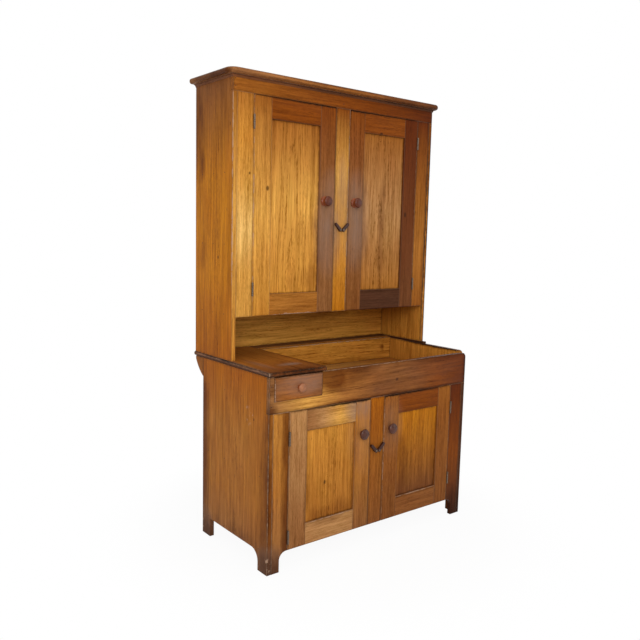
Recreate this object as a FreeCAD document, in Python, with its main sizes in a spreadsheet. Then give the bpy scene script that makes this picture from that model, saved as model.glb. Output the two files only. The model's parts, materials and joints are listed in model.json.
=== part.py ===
import FreeCAD, Part
import Sketcher
import math
import os
import re

# Step back cupboard. Millimetres, +Z up, X to the right seen from the front, -Y towards the front.
# The origin is on the floor, under the middle of the whole cupboard.

SIZES = {
    # base
    "case_width": 1218,          # outside of one side board to the outside of the other
    "base_depth": 556,           # face of the base to its back boards' rear
    "base_height": 855,          # floor to the underside of the deck
    "side_thick": 22,            # side boards
    "side_rise": 9,              # right side board over the apron
    "side_round": 20,            # its upper front corner
    "face_thick": 20,            # stiles, apron and frieze
    "shelf_thick": 20,           # floors, shelves and the well's boards
    "plank_thick": 14,           # back boards of the base
    "plank_gap": 1,              # shrinkage gap between two back boards
    "front_foot": 72,            # side board's front foot, along Y
    "rear_foot": 72,             # side board's rear foot, along Y
    "bracket_reach": 41,         # inner edge of an outer stile to the inner edge of its bracket foot
    "arch_height": 88,           # cut-out under the side boards, and the doors' lower edge
    "arch_round": 50,            # curve between the side's front foot and the cut-out
    "foot_round": 36,            # curve of the bracket foot
    "apron_height": 156,
    "apron_round": 24,           # worn right end of the apron
    "lower_shelf_up": 302,       # top of the floor to the underside of the lower shelf
    "shelf_setback": 40,         # shelves end this far behind the face boards
    # drawer bay, well and deck
    "bay_width": 297,            # outside of the case to the deck's right edge
    "bay_wall": 16,              # divider between drawer bay and well
    "notch_left": 25,            # apron left beside the drawer
    "notch_drop": 106,           # depth of the apron's notch
    "well_back_rise": 14,        # the well's back board stands this far over the apron
    "deck_thick": 20,
    "deck_nose": 5,              # deck past the face of the base
    "deck_lip": 3,               # deck past the side
    "deck_tail": 8,              # deck behind the upper case
    "deck_round": 9,             # nosing
    "cleat_nose": 25,            # rest cleat in front of the upper case
    "back_overhang": 75,         # upper case behind the base
    "corbel_height": 90,
    "corbel_end": 14,            # corbel's height at its free end
    "corbel_in": 4,              # corbel's free end in front of the upper case's rear
    "corbel_curve": 190,         # radius of the corbel's swelling edge
    # drawer
    "drawer_gap": 2,             # drawer front to the notch's sides
    "drawer_drop": 4,            # gap over the drawer front
    "drawer_lift": 0.5,          # drawer over the board it runs on
    "drawer_end_gap": 32,        # drawer's back to the board behind it
    "drawer_side": 12,
    "drawer_side_drop": 12,      # sides lower than the front
    "drawer_bottom": 8,
    "drawer_bottom_up": 8,       # drawer's lower edge to its bottom board
    "drawer_groove": 5,
    "drawer_inset": 2,           # drawer sides inside the front's ends
    # upper case
    "step_depth": 304,           # face of the base to the face of the upper case
    "upper_height": 1231,        # deck to the underside of the cornice
    "shelf_opening": 195,        # deck to the upper doors' lower edge
    "frieze_height": 68,
    "upper_plank": 18,           # back boards of the upper case
    "shelf_pitch": 310,          # upper floor and shelves, one over the other
    "cornice_thick": 24,
    "cornice_reach": 33,         # past the case at the front and the sides
    "cornice_corner": 45,
    "cornice_round": 11,
    "cove_size": 12,
    # face frames and doors
    "outer_stile": 82,
    "centre_stile": 85,
    "stile_round": 10,           # worn lower end of the base's centre stile
    "hinge_gap": 2,
    "door_gap": 2,               # at the lock edge and the top
    "door_thick": 20,
    "door_proud": 3,             # doors and drawer in front of the face boards
    "door_round": 5,
    "door_stile": 92,
    "top_rail": 94,
    "bottom_rail": 99,
    "panel_thick": 8,
    "panel_setback": 9,          # door face to the panel's face
    "panel_float": 1,            # panel's edge to the groove's bottom
    "groove_depth": 12,
    # hinges
    "hinge_down": 115,           # door's top to the upper hinge's middle
    "hinge_up": 122,             # door's lower edge to the lower hinge's middle
    "hinge_up_low": 59,          # the same on the lower left door
    "hinge_height": 60,
    "leaf_thick": 1.2,
    "leaf_depth": 14,            # leaf behind the face boards
    "barrel_radius": 4,
    "barrel_forward": 6,         # barrel's axis in front of the face boards
    "pin_radius": 1.8,
    "pin_clearance": 0.05,
    "pin_end": 1.5,              # pin past the barrel
    "knuckle_gap": 0.3,
    # knobs
    "shank_radius": 6,
    "shank_depth": 12,
    "upper_knob_up": 528,        # door's lower edge to the knob
    "lower_knob_up": 452,
    "upper_left_knob_in": 61.5,  # door's lock edge to the knob
    "upper_right_knob_in": 35.5,
    "lower_left_knob_in": 50.5,
    "lower_right_knob_in": 39.5,
    "upper_knob_radius": 24,
    "upper_knob_length": 40,
    "upper_neck_radius": 15,
    "lower_knob_radius": 25,
    "lower_knob_length": 30,
    "lower_neck_radius": 13,
    "drawer_knob_radius": 19.5,
    "drawer_knob_length": 28,
    "drawer_neck_radius": 10,
    # turn buttons
    "upper_button_up": 396,      # doors' lower edge to the buttons' screws
    "lower_button_up": 358,
    "button_apart": 9.8,         # middle plane to a screw
    "button_length": 44,         # screw to the tip
    "button_half": 8.5,          # half the width at the screw
    "button_tip": 6,             # half the width at the tip
    "button_thick": 10,
    "button_lift": 4,            # hub that holds the arm off the centre stile
    "button_hub": 6,
    "button_rest": 45,           # degrees above level, clear of the doors
    "screw_radius": 2.5,
    "screw_clearance": 0.05,
    "screw_head": 5,
    "screw_head_thick": 2,
    "screw_depth": 15,
    "screw_slack": 0.3,          # screw head over the button
}

# Places worked out from the sizes, each an expression of sizes and of places above it.
PLACES = {
    "half": "case_width / 2",
    "inner": "half - side_thick",
    "opening_half": "inner - outer_stile",
    "post": "centre_stile / 2",
    "face": "-(base_depth + back_overhang + deck_tail - door_proud - lower_knob_length) / 2",
    "rear": "face + base_depth",
    "upper_face": "face + step_depth",
    "upper_rear": "rear + back_overhang",
    "deck_rear": "upper_rear + deck_tail",
    "board_back": "rear - plank_thick",
    "upper_back": "upper_rear - upper_plank",
    "apron_low": "base_height - apron_height",
    "run_top": "base_height - notch_drop",
    "deck_top": "base_height + deck_thick",
    "deck_right": "-half + bay_width",
    "bay_right": "deck_right - bay_wall",
    "notch_start": "-half + notch_left",
    "notch_end": "bay_right - 1",
    "well_face": "rear - shelf_thick",
    "side_top": "base_height + side_rise",
    "upper_low": "deck_top + shelf_opening",
    "upper_top": "deck_top + upper_height",
    "frieze_low": "upper_top - frieze_height",
    "cornice_top": "upper_top + cornice_thick",
    "hinge_edge": "opening_half - hinge_gap",
    "lock_edge": "post + door_gap",
    "hinge_axis": "opening_half - hinge_gap / 2",
    "drawer_left": "notch_start + drawer_gap",
    "drawer_right": "notch_end - drawer_gap",
    "drawer_face": "face - door_proud",
    "drawer_low": "run_top + drawer_lift",
    "drawer_high": "base_height - drawer_drop",
}

SIDES = (("left", -1), ("right", 1))

doc = FreeCAD.newDocument("StepBackCupboard")
sheet = doc.addObject("Spreadsheet::Sheet", "Sizes")
for row, (alias, value) in enumerate(SIZES.items(), 1):
    sheet.set(f"A{row}", alias)
    sheet.set(f"B{row}", str(value))
    sheet.setAlias(f"B{row}", alias)
doc.recompute()

nodes = []


def formula(text):
    """The expression of the document that a text of size and place names stands for."""
    def replace(match):
        word = match.group()
        if word in PLACES:
            return f"({formula(PLACES[word])})"
        return f"Sizes.{word}" if word in SIZES else word
    return re.sub(r"[a-z_]+[a-z]", replace, str(text))


def value_of(text):
    return float(sheet.evalExpression(formula(text)))


def bind(obj, path, text):
    obj.setExpression(path, formula(text))


def place(obj, x="0", y="0", z="0"):
    """Puts an object at a point, each coordinate bound to its expression."""
    for letter, text in (("x", x), ("y", y), ("z", z)):
        bind(obj, f"Placement.Base.{letter}", text)
    return obj


def node(obj, label=None):
    """Marks an object as a sub-part of the cupboard. Its label is the sub-part's name."""
    if label:
        obj.Label = label
    nodes.append(obj)
    return obj


def mirrored(sign, low, high):
    """A range of X given for the right side, for the right (1) or the left side (-1)."""
    return (low, high) if sign > 0 else (f"-({high})", f"-({low})")


def box(name, x, y, z):
    """A board that fills three ranges."""
    obj = doc.addObject("Part::Box", name)
    for path, (low, high) in (("Length", x), ("Width", y), ("Height", z)):
        bind(obj, path, f"({high}) - ({low})")
    return place(obj, x[0], y[0], z[0])


def rod_up(name, radius, x, y, z):
    """An upright cylinder that fills a range of Z."""
    obj = doc.addObject("Part::Cylinder", name)
    bind(obj, "Radius", radius)
    bind(obj, "Height", f"({z[1]}) - ({z[0]})")
    return place(obj, x, y, z[0])


def rod_forward(name, radius, x, y, z):
    """A cylinder along Y that fills a range of Y."""
    obj = doc.addObject("Part::Cylinder", name)
    obj.Placement.Rotation = FreeCAD.Rotation(FreeCAD.Vector(1, 0, 0), 90)
    bind(obj, "Radius", radius)
    bind(obj, "Height", f"({y[1]}) - ({y[0]})")
    return place(obj, x, y[1], z)


def group(name, members):
    """Several solids kept as one object."""
    obj = doc.addObject("Part::Compound", name)
    obj.Links = members
    return obj


def fused(name, members):
    obj = doc.addObject("Part::MultiFuse", name)
    obj.Shapes = members
    return obj


def cut(name, base, tools):
    obj = doc.addObject("Part::Cut", name)
    obj.Base = base
    obj.Tool = tools[0] if len(tools) == 1 else group(f"{name}_cuts", tools)
    return obj


def outline(body, plane, points):
    """A closed outline on one of the body's origin planes, each corner tied to two expressions.

    A point is (u, v), or (u, v, bulge): then the edge that starts there is an arc of that radius,
    to the left of its chord where the bulge has a minus sign.
    """
    sketch = body.newObject("Sketcher::SketchObject", f"{body.Name}_outline")
    sketch.AttachmentSupport = [(next(f for f in body.Origin.OriginFeatures if f.Role == plane), "")]
    sketch.MapMode = "FlatFace"
    corners = [FreeCAD.Vector(value_of(point[0]), value_of(point[1]), 0) for point in points]
    count = len(points)
    starts = []
    ends = []
    for index, point in enumerate(points):
        start = corners[index]
        end = corners[(index + 1) % count]
        if len(point) == 2:
            sketch.addGeometry(Part.LineSegment(start, end), False)
            starts.append(1)
            ends.append(2)
            continue
        bulge = value_of(point[2])
        chord = end - start
        across = FreeCAD.Vector(-chord.y, chord.x, 0).normalize()
        drop = math.sqrt(bulge ** 2 - chord.Length ** 2 / 4)
        side = math.copysign(1, bulge)
        centre = (start + end) / 2 + across * drop * side
        first, last = (start, end) if side > 0 else (end, start)
        circle = Part.Circle(centre, FreeCAD.Vector(0, 0, 1), abs(bulge))
        sketch.addGeometry(Part.ArcOfCircle(circle, circle.parameter(first), circle.parameter(last)), False)
        radius = sketch.addConstraint(Sketcher.Constraint("Radius", index, abs(bulge)))
        bind(sketch, f"Constraints[{radius}]", f"abs({point[2]})")
        starts.append(1 if side > 0 else 2)
        ends.append(2 if side > 0 else 1)
    for index in range(count):
        after = (index + 1) % count
        sketch.addConstraint(Sketcher.Constraint("Coincident", index, ends[index], after, starts[after]))
    for index, point in enumerate(points):
        for kind, text in (("DistanceX", point[0]), ("DistanceY", point[1])):
            reach = Sketcher.Constraint(kind, -1, 1, index, starts[index], value_of(text))
            bind(sketch, f"Constraints[{sketch.addConstraint(reach)}]", text)
    return sketch


NORMALS = {"XY_Plane": "z", "XZ_Plane": "y", "YZ_Plane": "x"}


def prism(name, plane, points, start, end):
    """A body: an outline padded from start to end along the plane's third axis."""
    body = doc.addObject("PartDesign::Body", name)
    pad = body.newObject("PartDesign::Pad", f"{name}_pad")
    pad.Profile = outline(body, plane, points)
    pad.Reversed = plane == "XZ_Plane"
    bind(pad, "Length", f"({end}) - ({start})")
    body.Tip = pad
    return place(body, **{NORMALS[plane]: start})


def dress(body, kind, size, *where):
    """Fillets or chamfers the edges that lie wholly at one of the given places.

    A place is a dict of coordinates in the body's own frame, such as x and z for an edge along Y.
    """
    doc.recompute()
    base = body.Tip
    wanted = [{letter: value_of(text) for letter, text in spot.items()} for spot in where]
    names = []
    for number, edge in enumerate(base.Shape.Edges, 1):
        middle = edge.valueAt((edge.FirstParameter + edge.LastParameter) / 2)
        tests = [vertex.Point for vertex in edge.Vertexes] + [middle]
        if any(all(abs(getattr(point, letter) - value) < 1e-4 for point in tests
                   for letter, value in spot.items()) for spot in wanted):
            names.append(f"Edge{number}")
    feature = body.newObject(f"PartDesign::{kind}", f"{body.Name}_{kind.lower()}")
    feature.Base = (base, names)
    bind(feature, "Radius" if kind == "Fillet" else "Size", size)
    body.Tip = feature
    return body


def turned(name, points, x, y, z):
    """A turned piece: half of its outline, (radius, forward), spun round an axis along Y."""
    body = doc.addObject("PartDesign::Body", name)
    spin = body.newObject("PartDesign::Revolution", f"{name}_turning")
    flipped = [(point[0], f"-({point[1]})") + point[2:] for point in points]
    spin.Profile = outline(body, "XY_Plane", flipped)
    axis = next(f for f in body.Origin.OriginFeatures if f.Role == "Y_Axis")
    spin.ReferenceAxis = (axis, [""])
    spin.Angle = 360
    body.Tip = spin
    return place(body, x, y, z)


# ---------------------------------------------------------------- hinges

def hinge_heights(door):
    return (f"{door['low']} + {door['hinge_up']}", f"{door['high']} - hinge_down")


def hinge_span(middle):
    return (f"{middle} - hinge_height / 2", f"{middle} + hinge_height / 2")


def leaf_ranges(door, moving):
    """Ranges of X and Y of a leaf: let into the door's edge, or into the stile beside it."""
    edge = ("hinge_edge - leaf_thick", "hinge_edge") if moving else ("opening_half", "opening_half + leaf_thick")
    forward = f"{door['face']} - barrel_forward + barrel_radius + knuckle_gap"
    return mirrored(door["sign"], *edge), (forward, f"{door['face']} + leaf_depth")


def mortises(door, name, moving):
    """Cutters for the places where the two leaves of a door are let in."""
    x, y = leaf_ranges(door, moving)
    front = (f"{door['face']} - door_proud" if moving else door["face"], y[1])
    return [box(f"{name}_mortise_{index}", x, front, hinge_span(middle))
            for index, middle in enumerate(hinge_heights(door))]


def hinge_leaf(door, name, middle, moving):
    """One leaf with its knuckles. The middle knuckle is the door's, the outer two the stile's."""
    x, y = leaf_ranges(door, moving)
    low, high = hinge_span(middle)
    third = "hinge_height / 3"
    if moving:
        knuckles = [(f"{low} + {third} + knuckle_gap", f"{high} - {third} - knuckle_gap")]
        clearance = "pin_clearance"
    else:
        knuckles = [(low, f"{low} + {third}"), (f"{high} - {third}", high)]
        clearance = "0"
    axis_x = f"{door['sign']} * hinge_axis"
    axis_y = f"{door['face']} - barrel_forward"
    pieces = [box(f"{name}_plate", x, y, (low, high))]
    for index, knuckle in enumerate(knuckles):
        pieces.append(rod_up(f"{name}_knuckle_{index}", "barrel_radius", axis_x, axis_y, knuckle))
        pieces.append(box(f"{name}_strap_{index}", x, (axis_y, y[0]), knuckle))
    bore = rod_up(f"{name}_bore", f"pin_radius + {clearance}", axis_x, axis_y, (low, high))
    return cut(name, fused(f"{name}_solid", pieces), [bore])


def hinge_pin(door, name, middle):
    low, high = hinge_span(middle)
    return rod_up(name, "pin_radius", f"{door['sign']} * hinge_axis",
                  f"{door['face']} - barrel_forward", (f"{low} - pin_end", f"{high} + pin_end"))


# ---------------------------------------------------------------- knobs

def upper_knob(name, x, y, z):
    """Two turned discs with a neck between them."""
    points = [("0", "-shank_depth"), ("shank_radius", "-shank_depth"), ("shank_radius", "0"),
              ("upper_knob_radius - 1", "0"), ("upper_knob_radius - 1", "upper_knob_length * 0.2"),
              ("upper_neck_radius", "upper_knob_length * 0.32"),
              ("upper_neck_radius", "upper_knob_length * 0.48"),
              ("upper_knob_radius", "upper_knob_length * 0.6"),
              ("upper_knob_radius", "upper_knob_length * 0.8"), ("0", "upper_knob_length")]
    return turned(name, points, x, y, z)


def mushroom_knob(name, size, x, y, z):
    """A neck with one turned disc on it."""
    points = [("0", "-shank_depth"), ("shank_radius", "-shank_depth"), ("shank_radius", "0"),
              (f"{size}_neck_radius", "0"), (f"{size}_neck_radius * 0.9", f"{size}_knob_length * 0.3"),
              (f"{size}_knob_radius", f"{size}_knob_length * 0.5"),
              (f"{size}_knob_radius", f"{size}_knob_length * 0.75"), ("0", f"{size}_knob_length")]
    return turned(name, points, x, y, z)


def shank_bore(name, x, y, z):
    return rod_forward(f"{name}_shank_bore", "shank_radius", x, (y, f"{y} + shank_depth"), z)


# ---------------------------------------------------------------- doors

DOORS = {
    f"{level}_{side}": {
        "sign": sign,
        "face": face,
        "low": low,
        "high": high,
        "hinge_up": "hinge_up_low" if (level, side) == ("lower", "left") else "hinge_up",
        "knob_up": f"{level}_knob_up",
        "knob_in": f"{level}_{side}_knob_in",
        "level": level,
    }
    for level, face, low, high in (("lower", "face", "arch_height", "apron_low - door_gap"),
                                   ("upper", "upper_face", "upper_low", "frieze_low - door_gap"))
    for side, sign in SIDES
}


def door_stile(door, name, outer, inner):
    """A stile of a door: rounded at its outer front edge and its ends, grooved along its inner edge."""
    front = f"{door['face']} - door_proud"
    back = f"{front} + door_thick"
    groove = (f"{front} + panel_setback", f"{front} + panel_setback + panel_thick")
    bottom = f"{inner} + ({'groove_depth' if name.endswith('lock') else '-groove_depth'}) * {door['sign']} * -1"
    height = f"{door['high']} - ({door['low']})"
    points = [(outer, front), (outer, back), (inner, back), (inner, groove[1]), (bottom, groove[1]),
              (bottom, groove[0]), (inner, groove[0]), (inner, front)]
    body = prism(name, "XY_Plane", points, door["low"], door["high"])
    return dress(body, "Fillet", "door_round", {"x": outer, "y": front}, {"y": front, "z": "0"},
                 {"y": front, "z": height})


def door_rail(door, name, outer, inner):
    """A rail of a door: grooved like the stiles, with a tongue at each end that fills their grooves."""
    front = f"{door['face']} - door_proud"
    back = f"{front} + door_thick"
    groove = (f"{front} + panel_setback", f"{front} + panel_setback + panel_thick")
    inward = "-1" if name.endswith("top") else "1"
    bottom = f"{inner} - groove_depth * {inward}"
    x = mirrored(door["sign"], "lock_edge + door_stile", "hinge_edge - door_stile")
    points = [(front, outer), (back, outer), (back, inner), (groove[1], inner), (groove[1], bottom),
              (groove[0], bottom), (groove[0], inner), (front, inner)]
    body = prism(f"{name}_body", "YZ_Plane", points, *x)
    dress(body, "Fillet", "door_round", {"y": front, "z": outer})
    z = (bottom, outer) if name.endswith("top") else (outer, bottom)
    tongues = [box(f"{name}_tongue_left", (f"{x[0]} - groove_depth", x[0]), groove, z),
               box(f"{name}_tongue_right", (x[1], f"{x[1]} + groove_depth"), groove, z)]
    return fused(name, [body] + tongues)


def make_door(key, door):
    """A frame and panel door with its knob and its hinges' moving leaves."""
    name = f"door_{key}"
    sign = door["sign"]
    front = f"{door['face']} - door_proud"
    hinge_outer = f"{sign} * hinge_edge"
    hinge_inner = f"{sign} * (hinge_edge - door_stile)"
    lock_outer = f"{sign} * lock_edge"
    lock_inner = f"{sign} * (lock_edge + door_stile)"
    knob_x = f"{sign} * (lock_edge + {door['knob_in']})"
    knob_z = f"{door['low']} + {door['knob_up']}"

    hinge_stile = cut(f"{name}_hinge_stile", door_stile(door, f"{name}_hinge", hinge_outer, hinge_inner),
                      mortises(door, name, True))
    lock_stile = cut(f"{name}_lock_stile", door_stile(door, f"{name}_lock", lock_outer, lock_inner),
                     [shank_bore(name, knob_x, front, knob_z)])
    node(group(f"{name}_stiles", [hinge_stile, lock_stile]))

    rails = [door_rail(door, f"{name}_rail_top", door["high"], f"{door['high']} - top_rail"),
             door_rail(door, f"{name}_rail_bottom", door["low"], f"{door['low']} + bottom_rail")]
    node(group(f"{name}_rails", rails))

    reach = "groove_depth - panel_float"
    node(box(f"{name}_panel",
             mirrored(sign, f"lock_edge + door_stile - ({reach})", f"hinge_edge - door_stile + {reach}"),
             (f"{front} + panel_setback", f"{front} + panel_setback + panel_thick"),
             (f"{door['low']} + bottom_rail - ({reach})", f"{door['high']} - top_rail + {reach}")))

    if door["level"] == "upper":
        node(upper_knob(f"{name}_knob", knob_x, front, knob_z))
    else:
        node(mushroom_knob(f"{name}_knob", "lower", knob_x, front, knob_z))

    leaves = [hinge_leaf(door, f"{name}_leaf_{index}", middle, True)
              for index, middle in enumerate(hinge_heights(door))]
    node(group(f"{name}_hinge_leaves", leaves))


# ---------------------------------------------------------------- base

def base_side(side, sign):
    """A side board, cut out below so that it stands on two feet, notched in front for the apron."""
    rise = "face + front_foot"
    top = "side_top" if side == "right" else "base_height"
    points = [("face", "0"), ("face", "apron_low"), ("face + face_thick", "apron_low"),
              ("face + face_thick", top), ("rear", top), ("rear", "0"),
              ("rear - rear_foot", "0"), ("rear - rear_foot", "arch_height"), (rise, "arch_height"),
              (rise, "0")]
    body = prism(f"base_side_{side}", "YZ_Plane", points, *mirrored(sign, "inner", "half"))
    if side == "right":
        dress(body, "Fillet", "side_round", {"y": "face + face_thick", "z": top})
    return dress(body, "Fillet", "arch_round", {"y": rise, "z": "arch_height"})


def base_stile(side, sign):
    """An outer stile of the base, which ends in a bracket foot."""
    foot = f"{sign} * (opening_half + bracket_reach)"
    outer = f"{sign} * inner"
    edge = f"{sign} * opening_half"
    points = [(outer, "0"), (outer, "apron_low"), (edge, "apron_low"), (edge, "arch_height"),
              (foot, "arch_height"), (foot, "0")]
    body = prism(f"base_stile_{side}_blank", "XZ_Plane", points, "face", "face + face_thick")
    dress(body, "Fillet", "min(foot_round; bracket_reach * 0.95)", {"x": foot, "z": "arch_height"})
    return cut(f"base_stile_{side}", body, mortises(DOORS[f"lower_{side}"], f"base_stile_{side}", False))


def screw_bores(name, face, height):
    return [rod_forward(f"{name}_{side}_screw_bore", "screw_radius", f"{sign} * button_apart",
                        (face, f"{face} + screw_depth"), height) for side, sign in SIDES]


def centre_stile(level, face, low, high, height):
    """A centre stile with the bores for its two turn buttons' screws."""
    name = f"{level}_stile_centre"
    points = [("-post", low), ("post", low), ("post", high), ("-post", high)]
    body = prism(f"{name}_blank", "XZ_Plane", points, face, f"{face} + face_thick")
    if level == "base":
        dress(body, "Fillet", "stile_round", {"y": "0", "z": low})
    return cut(name, body, screw_bores(name, face, height))


def apron():
    """The full width board over the lower doors, with the drawer's notch in its top edge."""
    points = [("-half", "apron_low"), ("half", "apron_low"), ("half", "base_height"),
              ("notch_end", "base_height"), ("notch_end", "run_top"), ("notch_start", "run_top"),
              ("notch_start", "base_height"), ("-half", "base_height")]
    body = prism("apron", "XZ_Plane", points, "face", "face + face_thick")
    return dress(body, "Fillet", "apron_round", {"x": "half", "z": "base_height"})


def planks(name, count, y, z):
    """Upright back boards side by side between the side boards."""
    pitch = f"(inner * 2 + plank_gap) / {count}"
    return group(name, [box(f"{name}_{index}", (f"-inner + {index} * {pitch}",
                                                f"-inner + {index + 1} * {pitch} - plank_gap"), y, z)
                        for index in range(count)])


def stacked_boards(name, count, y, z):
    """Level back boards, one over the other, between the side boards."""
    low, high = z
    pitch = f"({high} - ({low}) + plank_gap) / {count}"
    return group(name, [box(f"{name}_{index}", ("-inner", "inner"), y,
                            (f"{low} + {index} * {pitch}", f"{low} + {index + 1} * {pitch} - plank_gap"))
                        for index in range(count)])


def deck():
    """The board over the drawer bay, which also carries the left side of the upper case."""
    left = "-half - deck_lip"
    nose = "face - deck_nose"
    points = [(left, nose), ("deck_right", nose), ("deck_right", "deck_rear"), (left, "deck_rear")]
    body = prism("deck", "XY_Plane", points, "base_height", "deck_top")
    edges = [{"y": nose, "z": level} for level in ("0", "deck_thick")]
    edges += [{"x": left, "z": level} for level in ("0", "deck_thick")]
    return dress(body, "Fillet", "min(deck_round; deck_thick * 0.47)", *edges)


def corbel(side, sign):
    """A bracket with a swelling edge under the part of the upper case that stands out behind the base."""
    top = "side_top" if side == "right" else "base_height"
    end = "upper_rear - corbel_in"
    points = [("rear", top), ("rear", "base_height - corbel_height", "corbel_curve"),
              (end, "base_height - corbel_end"), (end, top)]
    return prism(f"corbel_{side}", "YZ_Plane", points, *mirrored(sign, "inner", "half"))


def well_back():
    """The board behind the drawer bay and the well, notched for the deck."""
    top = "base_height + well_back_rise"
    points = [("-inner", "run_top"), ("inner", "run_top"), ("inner", top), ("deck_right", top),
              ("deck_right", "base_height"), ("-inner", "base_height")]
    return prism("well_back", "XZ_Plane", points, "well_face", "rear")


def base():
    between = ("-inner", "inner")
    behind = ("face + face_thick", "board_back")
    floor_top = "arch_height + shelf_thick"
    for side, sign in SIDES:
        node(base_side(side, sign))
        node(base_stile(side, sign))
    node(centre_stile("base", "face", "arch_height - 4", "apron_low", "arch_height + lower_button_up"))
    node(apron())
    node(box("base_floor", between, behind, ("arch_height", floor_top)))
    node(box("base_shelf", between, ("face + face_thick + shelf_setback", "board_back"),
             (f"{floor_top} + lower_shelf_up", f"{floor_top} + lower_shelf_up + shelf_thick")))
    node(planks("base_back_boards", 5, ("board_back", "rear"), ("arch_height", "run_top - shelf_thick")))
    node(box("well_floor", between, ("face + face_thick", "rear"), ("run_top - shelf_thick", "run_top")))
    node(well_back())
    node(box("bay_divider", ("bay_right", "deck_right"), ("face + face_thick", "well_face"),
             ("run_top", "base_height")))
    node(deck())
    node(box("rear_ledge", ("deck_right", "inner"), ("rear", "upper_rear"), ("base_height", "deck_top")))
    node(box("rest_cleat", ("inner", "half"), ("upper_face - cleat_nose", "upper_rear"),
             ("side_top", "deck_top")))
    node(group("corbels", [corbel(side, sign) for side, sign in SIDES]))


# ---------------------------------------------------------------- drawer

def drawer():
    """A drawer that runs on the well's floor board, in the bay under the deck."""
    front_back = "drawer_face + door_thick"
    end = "well_face - drawer_end_gap"
    left = "drawer_left + drawer_inset"
    right = "drawer_right - drawer_inset"
    top = "drawer_high - drawer_side_drop"
    bottom = ("drawer_low + drawer_bottom_up", "drawer_low + drawer_bottom_up + drawer_bottom")
    knob = ("(drawer_left + drawer_right) / 2", "drawer_face", "(drawer_low + drawer_high) / 2")

    points = [("drawer_left", "drawer_low"), ("drawer_right", "drawer_low"),
              ("drawer_right", "drawer_high"), ("drawer_left", "drawer_high")]
    front = prism("drawer_front_blank", "XZ_Plane", points, "drawer_face", front_back)
    dress(front, "Fillet", "door_round", {"y": "0"})
    node(cut("drawer_front", front, [shank_bore("drawer", *knob)]))

    sides = []
    for side, outer, inner_face in (("left", left, f"{left} + drawer_side"),
                                    ("right", f"{right} - drawer_side", right)):
        blank = box(f"drawer_{side}_blank", (outer, inner_face), (front_back, end), ("drawer_low", top))
        groove = ((f"{inner_face} - drawer_groove", inner_face) if side == "left"
                  else (outer, f"{outer} + drawer_groove"))
        sides.append(cut(f"drawer_{side}", blank,
                         [box(f"drawer_{side}_groove", groove, (front_back, end), bottom)]))
    node(group("drawer_sides", sides))
    node(box("drawer_back", (f"{left} + drawer_side", f"{right} - drawer_side"),
             (f"{end} - drawer_side", end), (bottom[1], top)))
    node(box("drawer_bottom", (f"{left} + drawer_side - drawer_groove", f"{right} - drawer_side + drawer_groove"),
             (front_back, end), bottom))
    node(mushroom_knob("drawer_knob", "drawer", *knob))


# ---------------------------------------------------------------- upper case

def upper_side(side, sign):
    """A side board, notched in front for the frieze."""
    points = [("upper_face", "deck_top"), ("upper_rear", "deck_top"), ("upper_rear", "upper_top"),
              ("upper_face + face_thick", "upper_top"), ("upper_face + face_thick", "frieze_low"),
              ("upper_face", "frieze_low")]
    return prism(f"upper_side_{side}", "YZ_Plane", points, *mirrored(sign, "inner", "half"))


def dress_rim(body, name, level):
    """Rounds the front and side edges of the cornice board at one level."""
    doc.recompute()
    base = body.Tip
    height = value_of(level)
    rear = value_of("upper_rear")
    edges = []
    for number, edge in enumerate(base.Shape.Edges, 1):
        ends = [vertex.Point for vertex in edge.Vertexes]
        flat = all(abs(end.z - height) < 1e-4 for end in ends)
        at_back = all(abs(end.y - rear) < 1e-4 for end in ends)
        if flat and not at_back:
            edges.append(f"Edge{number}")
    rim = body.newObject("PartDesign::Fillet", f"cornice_{name}_rim")
    rim.Base = (base, edges)
    bind(rim, "Radius", "min(cornice_round; cornice_thick * 0.47)")
    body.Tip = rim


def cornice():
    """The top board, rounded at its front and side edges, with a small moulding under it."""
    side = "half + cornice_reach"
    front = "upper_face - cornice_reach"
    points = [(f"-({side})", front), (side, front), (side, "upper_rear"), (f"-({side})", "upper_rear")]
    body = prism("cornice_board", "XY_Plane", points, "upper_top", "cornice_top")
    dress(body, "Fillet", "cornice_corner", {"x": side, "y": front}, {"x": f"-({side})", "y": front})
    for name, level in (("top", "cornice_thick"), ("bottom", "0")):
        dress_rim(body, name, level)
    node(body)

    side = "half + cove_size"
    front = "upper_face - cove_size"
    points = [(f"-({side})", "upper_rear"), (f"-({side})", front), (side, front), (side, "upper_rear"),
              ("half", "upper_rear"), ("half", "upper_face"), ("-half", "upper_face"),
              ("-half", "upper_rear")]
    cove = prism("cornice_cove", "XY_Plane", points, "upper_top - cove_size", "upper_top")
    node(dress(cove, "Chamfer", "cove_size * 0.7", {"x": side, "z": "0"}, {"x": f"-({side})", "z": "0"},
               {"y": front, "z": "0"}))


def upper_case():
    between = ("-inner", "inner")
    behind = ("upper_face + face_thick", "upper_back")
    stile_z = ("upper_low", "frieze_low")
    stile_y = ("upper_face", "upper_face + face_thick")
    for side, sign in SIDES:
        node(upper_side(side, sign))
        name = f"upper_stile_{side}"
        blank = box(f"{name}_blank", mirrored(sign, "opening_half", "inner"), stile_y, stile_z)
        node(cut(name, blank, mortises(DOORS[f"upper_{side}"], name, False)))
    node(centre_stile("upper", "upper_face", *stile_z, "upper_low + upper_button_up"))
    node(box("frieze", ("-half", "half"), stile_y, ("frieze_low", "upper_top")))
    node(box("upper_floor", between, behind, ("upper_low", "upper_low + shelf_thick")))
    shelves = [box(f"upper_shelf_{index}", between, (f"{behind[0]} + shelf_setback", behind[1]),
                   (f"upper_low + {index} * shelf_pitch", f"upper_low + {index} * shelf_pitch + shelf_thick"))
               for index in (1, 2)]
    node(group("upper_shelves", shelves))
    node(stacked_boards("upper_back_boards", 5, ("upper_back", "upper_rear"), ("deck_top", "upper_top")))
    cornice()


# ---------------------------------------------------------------- turn buttons

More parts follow.
